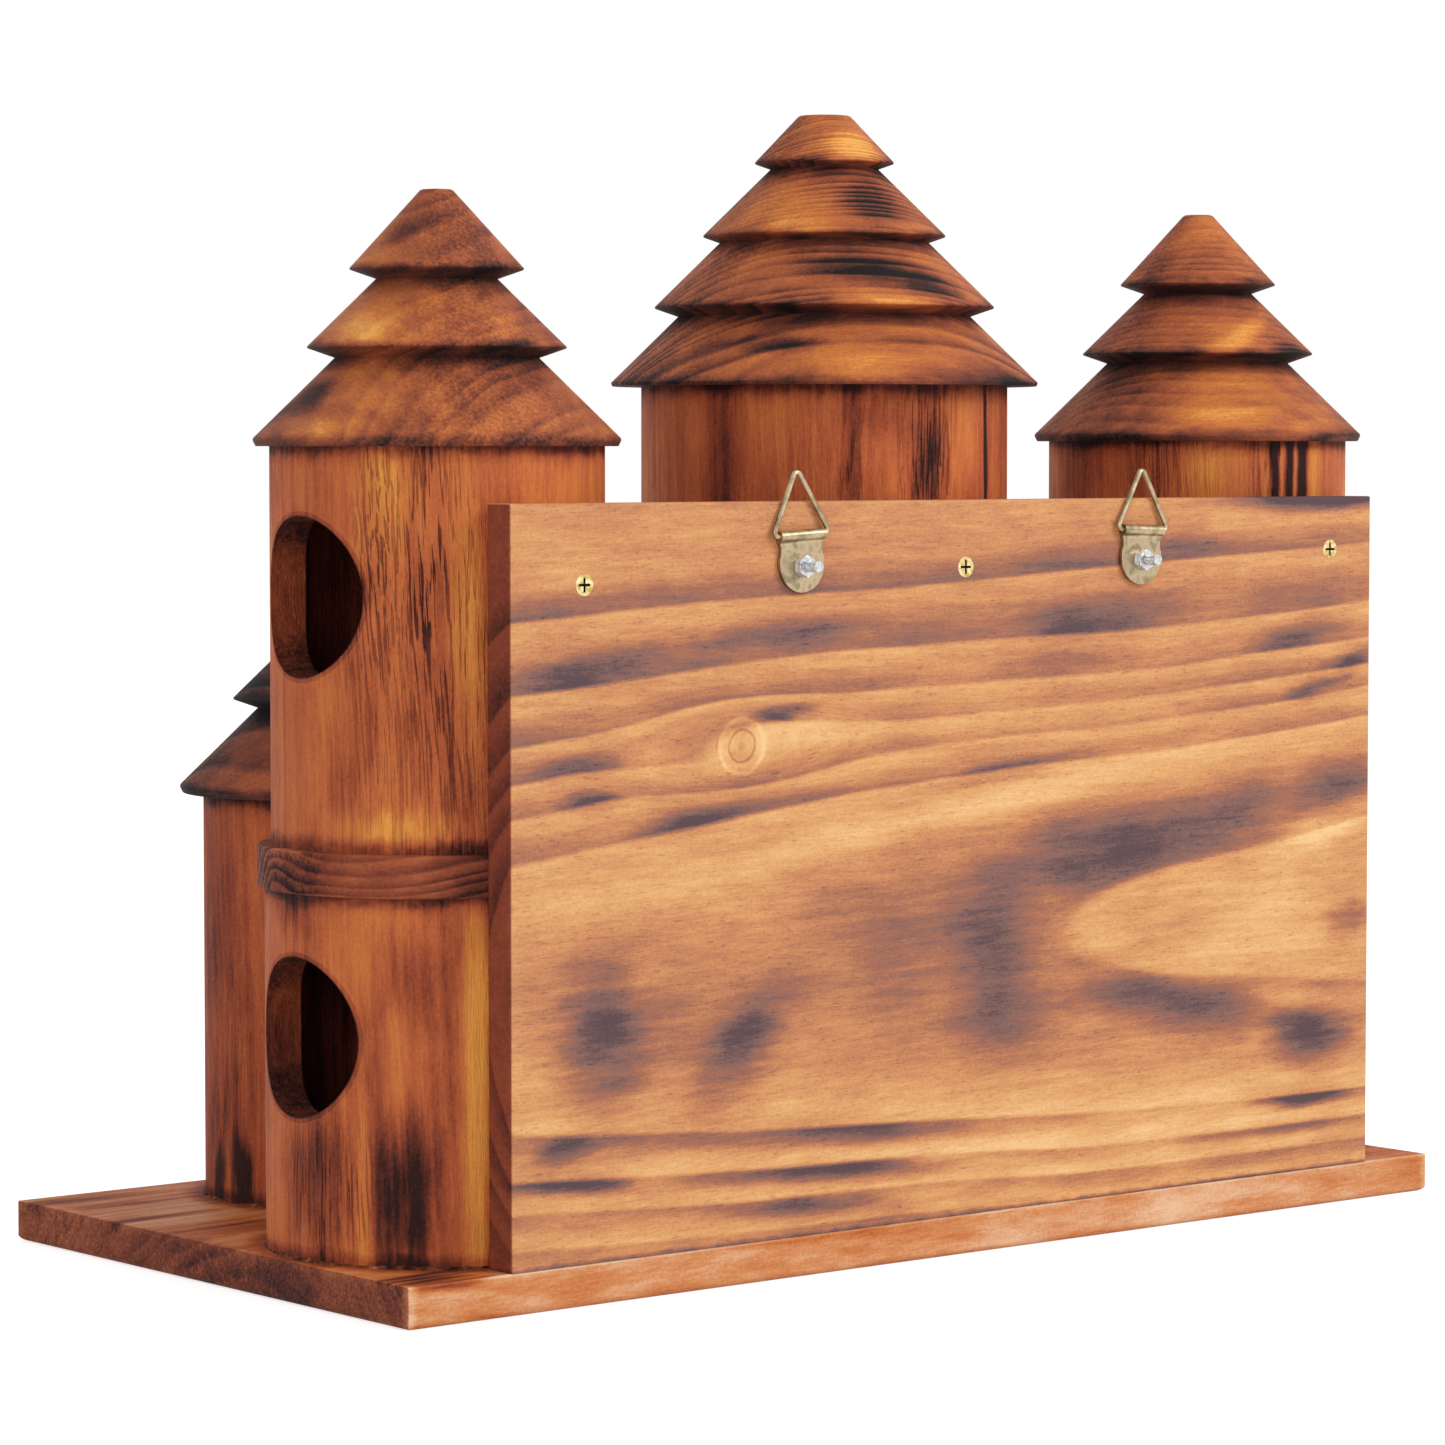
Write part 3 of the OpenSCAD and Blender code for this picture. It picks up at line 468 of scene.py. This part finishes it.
# How far below a wall's top its entrance is centred, and the turn about Z that it faces
drops = {"lower": (50, 0), "upper": (52, 0), "front": (60, -90)}
faces = {"right": 0, "left": 180, "middle": -90}
for index, node in enumerate(n for n in nodes if n.endswith("_wall")):
    low, high = (corner * 1000 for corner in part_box(node))
    half = (high.x - low.x) / 2
    side, storey = node.split("_")[:2]
    if side == "front":
        side, storey = "middle", "front"
    entrance = (low.x + half, low.y + half, high.z - drops[storey][0])
    cover(node, scorched_pine(
        node.replace("_wall", "_turned_pine"),
        pith=(low.x + half - 30 + 9 * index, low.y - 90, low.z), along=UPRIGHT, ring=8,
        tones=wall_tones, late=0.05, streak=0.3, mottle=0.46, lining=0.34,
        scorch=0.06 if node in wall_looks else 0.34, hug=0.1, pores=0.14, feather=(2, 2, 10),
        brushed=0.9, own=sooty_shaded_ends(low.z, high.z, entrance, faces[side], half - 12.5),
        **wall_looks.get(node, {})))

# Glue at the towers' feet
# Wood glue squeezed out of the joint between board and towers, and left as a thin ragged bead
# that has taken up some of the stain.


def bead(node):
    """A ragged bead, at most 2 mm high, round the foot of a wall that stands on the board"""
    low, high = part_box(node)
    foot = (high.x - low.x) / 2
    middle = Vector((low.x + foot, low.y + foot, low.z))
    panel_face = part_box("back_panel")[0].y
    shape = bmesh.new()
    last = None
    # 0.8 mm steps, so the raggedness shows
    steps = round(2 * math.pi * foot / 0.0008)
    for step in range(steps + 1):
        turn = 2 * math.pi * step / steps
        outwards = Vector((math.cos(turn), math.sin(turn), 0))
        spot = middle + outwards * foot
        if spot.y > panel_face - 0.0015:
            last = None
            continue
        swell = 0.5 + noise.noise(spot * 90) + 0.8 * noise.noise(spot * 420)
        thick = 0.0004 + 0.0011 * max(0.0, min(1.0, swell))
        profile = [spot - outwards * 0.0004 + Vector((0, 0, 0.9 * thick)),
                   spot + outwards * 0.35 * thick + Vector((0, 0, 0.75 * thick)),
                   spot + outwards * 0.8 * thick + Vector((0, 0, 0.35 * thick)),
                   spot + outwards * thick]
        row = [shape.verts.new(point) for point in profile]
        if last:
            for k in range(3):
                shape.faces.new((last[k], last[k + 1], row[k + 1], row[k]))
        last = row
    mesh = bpy.data.meshes.new(node + "_glue")
    shape.to_mesh(mesh)
    shape.free()
    for face in mesh.polygons:
        face.use_smooth = True
    return bpy.data.objects.new(node + "_glue", mesh)


glue = bpy.data.materials.new("stained_wood_glue")
glue.use_nodes = True
tree = glue.node_tree
tree.nodes.clear()
place = add(tree, "TexCoord").outputs["Object"]
lumps = add(tree, "TexNoise", {"Vector": place, "Scale": 260, "Detail": 3})
# Dark where stain has run into it, pale where it has been sanded
tint = add(tree, "ValToRGB", {"Fac": lumps},
           stops=[(0.36, "#2C130D"), (0.48, "#5E2E1C"), (0.6, "#7A4428"), (0.72, "#9E683E")])
shader = add(tree, "BsdfPrincipled", {"Base Color": tint, "Roughness": 0.8,
                                      "Specular IOR Level": 0.1})
add(tree, "OutputMaterial", {"Surface": shader})
for node in on_board:
    piece = bead(node)
    piece.data.materials.append(glue)
    bpy.context.scene.collection.objects.link(piece)
    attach(piece, "house")

# Storey discs
# Short turned discs between two walls, cut across a darker plank.
disc_tones = ("#CC8050", "#AE5E38", "#8C442C", "#6E3323", "#44201A", "#200F0D")
for node in (n for n in nodes if n.endswith("_disc")):
    low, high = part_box(node)
    middle = (low + high) * 500
    cover(node, scorched_pine(
        node.replace("_storey_disc", "_disc_pine"), pith=(middle.x + 30, middle.y + 40, low.z * 1000 - 60),
        along=(0, 0, -39), ring=3.4, tones=disc_tones, drift=16, late=0.34, patchy=0.5, mottle=0.6, pores=0.2,
        marks=((250, 46, 158, 10, 16, 6, 0, -0.3), (232, 92, 159, 16, 16, 3, 0, -0.14),
               (240, 70, 158, 60, 60, 20, 0, 0.08))))

# Roofs
# Each is turned from one block with the grain lying level, so the rings cross the tiers in arcs.
# Soot stays in the notches and on the rims, where the brush doesn't reach, and the notches also carry painted
# shade.


def sooty_shaded_notches(foot_z, top_z, rims):
    """Scorch of a roof's own: sooty stain and painted shade under each rim, and a thin dark line along the
    rim itself
    """
    height = top_z - foot_z

    def soot_and_shade(tree, mm):
        ragged = add(tree, "TexNoise", {"Vector": mm, "Scale": 0.1, "Detail": 3})
        level = add(tree, "SeparateXYZ", {0: mm}).outputs["Z"]
        level = add(tree, "Math", {0: ragged, 1: 5, 2: level}, operation="MULTIPLY_ADD")
        share = add(tree, "MapRange", {"Value": level, "From Min": foot_z + 2.5,
                                       "From Max": top_z + 2.5})
        stops = [(0, 0.3), ((rims[0] + 0.5) / height, 0.2), ((rims[0] + 2.5) / height, 0.0)]
        # Under each rim a ragged dark band: sooty stain and painted shade in the notch
        for rim in rims[1:]:
            stops += [((rim - 9) / height, 0.0), ((rim - 4) / height, 0.34),
                      ((rim - 1.2) / height, 0.44), ((rim + 0.7) / height, 0.2),
                      ((rim + 2.2) / height, 0.0)]
        return add(tree, "ValToRGB", {"Fac": share}, stops=stops)
    return soot_and_shade


roof_tones = ("#ECA854", "#CB793A", "#A85B37", "#7C402D", "#472A24", "#1B1416")
side_rims = (2.5, 34.5, 62)
middle_rims = (1.2, 29.4, 56.2, 83.6)
# Where a roof's pith lies from the middle of its foot, in mm
roof_hearts = {"right_roof": (-50, 0, -80), "middle_roof": (27, 75, -60)}
roof_looks = {
    "right_roof": dict(
        along=(0, 0, 75), ring=7, pores=0.14, thirst=0, late=0.14,
        marks=((234, 48, 315, 11, 13, 6, 0, 0.3), (221, 64, 336, 13, 14, 12, 0, -0.3),
               (244, 72, 303, 10, 20, 5, 0, -0.2), (200, 100, 312, 30, 20, 20, 0, 0.06),
               (185, 108, 306, 16, 16, 12, 0, -0.16), (205, 62, 374, 10, 10, 7, 0, 0.24),
               (226, 56, 352, 10, 12, 2, 0, 0.5))),
    "middle_roof": dict(
        along=(0, 0, -20), ring=5, growth=3, pores=0.14, late=0.4, patchy=0.66,
        marks=((0, 68, 408, 14, 14, 9, 0, -0.5), (2, 76, 384, 12, 12, 10, 0, 0.5),
               (44, 82, 353, 10, 12, 4, 0, 0.12), (26, 88, 364, 18, 18, 6, 0, 0.5),
               (6, 98, 361, 18, 18, 6, 0, 0.55), (-10, 104, 356, 14, 14, 6, 0, 0.45),
               (40, 88, 316, 20, 20, 5, 10, -0.2), (-20, 120, 318, 26, 26, 16, 0, 0.1),
               (30, 62, 384, 16, 16, 10, 0, -0.12), (14, 104, 349, 30, 20, 2.5, 0, -0.34),
               (20, 108, 326, 30, 24, 6, 0, -0.24), (52, 80, 334, 18, 18, 3, 0, 0.4))),
    "left_roof": dict(
        along=(0, 0, -25), ring=4, growth=1.5, pores=0.14, late=0.13,
        marks=((-146, 58, 322, 10, 14, 7, 0, 0.16), (-158, 92, 308, 16, 18, 6, 0, -0.2),
               (-178, 94, 340, 24, 18, 3, 25, -0.24), (-200, 100, 334, 10, 14, 6, 0, 0.4),
               (-190, 110, 304, 24, 20, 5, 20, -0.14))),
    "front_right_roof": dict(
        along=(0, 0, -39), ring=9, pores=0.14, late=0.06, scorch=0.02,
        marks=((179, -73, 208, 16, 30, 12, 0, 0.26), (190, -76, 180, 60, 60, 40, 0, 0.22))),
}
for node in (n for n in nodes if n.endswith("_roof")):
    low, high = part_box(node)
    middle = (low + high) * 500
    aside, behind, below = roof_hearts.get(node, (10, 40, -60))
    looks = dict(along=(0, 0, 20), ring=4, pores=0.25, late=0.24, scorch=0.16)
    looks.update(roof_looks.get(node, {}))
    cover(node, scorched_pine(
        node.replace("_roof", "_roof_pine"),
        pith=(middle.x + aside, middle.y + behind, low.z * 1000 + below),
        tones=roof_tones, drift=5, streak=0.4, mottle=0.46, feather=(3, 3, 1),
        own=sooty_shaded_notches(low.z * 1000, high.z * 1000,
                          middle_rims if node == "middle_roof" else side_rims), **looks))

# Hangers
# A strip of yellow-zinc-plated steel folded round the ring's wire. The passivated zinc is pale
# gold with green and pink clouds, and bright where it is bent.
plate = bpy.data.materials.new("yellow_zinc_plate")
plate.use_nodes = True
tree = plate.node_tree
tree.nodes.clear()
place = add(tree, "TexCoord").outputs["Object"]
clouds = add(tree, "TexNoise", {"Vector": place, "Scale": 190, "Detail": 3, "Roughness": 0.5})
tint = add(tree, "ValToRGB", {"Fac": clouds},
           stops=[(0.28, "#7A705A"), (0.42, "#9A8A6C"), (0.52, "#B8A684"), (0.62, "#AC927A"),
                  (0.75, "#949080")])
scratches = add(tree, "TexNoise", {"Vector": place, "Scale": 2600, "Detail": 2})
worn = add(tree, "MapRange", {"Value": clouds, "From Min": 0.3, "From Max": 0.7,
                              "To Min": 0.26, "To Max": 0.42})
bump = add(tree, "Bump", {"Height": scratches, "Distance": 0.00004, "Strength": 0.5})
shader = add(tree, "BsdfPrincipled", {"Base Color": tint, "Metallic": 1.0, "Roughness": worn,
                                      "Normal": bump})
add(tree, "OutputMaterial", {"Surface": shader})
for node in (n for n in nodes if n.endswith("_strap") or n.endswith("_ring")):
    cover(node, plate)

# Bolts and nuts
# M4 machine bolts with hexagonal nuts, bright zinc plated. The thread is cut at 0.7 mm pitch.
bright = bpy.data.materials.new("bright_zinc_plate")
bright.use_nodes = True
tree = bright.node_tree
tree.nodes.clear()
place = add(tree, "TexCoord").outputs["Object"]
speckle = add(tree, "TexNoise", {"Vector": place, "Scale": 900, "Detail": 3})
tint = add(tree, "ValToRGB", {"Fac": speckle},
           stops=[(0.35, "#A9AAAB"), (0.5, "#C9CACC"), (0.65, "#DADBDC")])
depth = add(tree, "SeparateXYZ", {0: place}).outputs["Y"]
thread_pitch = 0.0007
turns = add(tree, "Math", {0: depth, 1: 2 * math.pi / thread_pitch}, operation="MULTIPLY")
thread = add(tree, "Math", {0: turns}, operation="SINE")
bump = add(tree, "Bump", {"Height": thread, "Distance": 0.00012, "Strength": 0.7})
shader = add(tree, "BsdfPrincipled", {"Base Color": tint, "Metallic": 1.0, "Roughness": 0.28,
                                      "Normal": bump})
add(tree, "OutputMaterial", {"Surface": shader})
for node in (n for n in nodes if n.endswith("_bolt") or n.endswith("_nut")):
    cover(node, bright)

# Panel screws
# Countersunk cross-slot wood screws, brass plated.
brass = bpy.data.materials.new("brass_plate")
brass.use_nodes = True
tree = brass.node_tree
tree.nodes.clear()
place = add(tree, "TexCoord").outputs["Object"]
speckle = add(tree, "TexNoise", {"Vector": place, "Scale": 700, "Detail": 3})
tint = add(tree, "ValToRGB", {"Fac": speckle},
           stops=[(0.35, "#B79C5C"), (0.5, "#DCC486"), (0.65, "#EEDFB0")])
# The cross slots are darkened below the head's face
depth = add(tree, "SeparateXYZ", {0: place}).outputs["Y"]
deep = add(tree, "MapRange", {"Value": depth, "From Min": panel_back / 1000 - 0.0002,
                              "From Max": panel_back / 1000 - 0.0005})
tint = add(tree, "Mix", {"Factor": deep, "A": tint, "B": linear("#2A1A10")}, data_type="RGBA")
shader = add(tree, "BsdfPrincipled", {"Base Color": tint, "Metallic": 1.0, "Roughness": 0.34})
add(tree, "OutputMaterial", {"Surface": shader})
cover("panel_screws", brass)

# Floor, backdrop and lamps
# A white floor under soft studio light: for the camera it is as white as the backdrop, and it
# keeps the house's shadow.
bpy.ops.mesh.primitive_plane_add(size=12, location=(0, 0, 0))
floor = bpy.context.object
floor.name = "floor"
paper = bpy.data.materials.new("white_paper")
paper.use_nodes = True
tree = paper.node_tree
tree.nodes.clear()
ray = add(tree, "LightPath")
seen = add(tree, "Math", {0: ray.outputs["Is Camera Ray"], 1: ray.outputs["Is Glossy Ray"]},
           operation="MAXIMUM")
seen = add(tree, "Math", {0: seen, 1: ray.outputs["Is Transmission Ray"]}, operation="MAXIMUM")
fill = add(tree, "Math", {0: seen, 1: 0.62}, operation="MULTIPLY")
lit = add(tree, "BsdfDiffuse", {"Color": (0.8, 0.8, 0.8, 1)})
glow = add(tree, "Emission", {"Color": (1, 1, 1, 1), "Strength": fill})
both = add(tree, "AddShader", {0: lit, 1: glow})
add(tree, "OutputMaterial", {"Surface": both})
floor.data.materials.append(paper)

world = bpy.data.worlds.new("studio")
bpy.context.scene.world = world
world.use_nodes = True
tree = world.node_tree
tree.nodes.clear()
ray = add(tree, "LightPath")
seen = add(tree, "Math", {0: ray.outputs["Is Camera Ray"], 1: ray.outputs["Is Transmission Ray"]},
           operation="MAXIMUM")
seen = add(tree, "Math", {0: seen, 1: ray.outputs["Is Glossy Ray"]}, operation="MAXIMUM")
strength = add(tree, "MapRange", {"Value": seen, "To Min": 0.6, "To Max": 1.0})
sky = add(tree, "Background", {"Color": (1, 1, 1, 1), "Strength": strength})
add(tree, "OutputWorld", {"Surface": sky})

for name, place, size, power in (("key", (-1.3, 2.3, 1.9), 1.3, 45), ("fill", (2.4, 1.6, 0.9), 1.6, 18)):
    lamp = bpy.data.lights.new(name, "AREA")
    lamp.size = size
    lamp.energy = power
    holder = bpy.data.objects.new(name, lamp)
    holder.location = place
    holder.rotation_euler = (Vector((0, 0, 0.15)) - Vector(place)).to_track_quat("-Z", "Y").to_euler()
    bpy.context.scene.collection.objects.link(holder)

bpy.context.scene.view_settings.view_transform = "Standard"
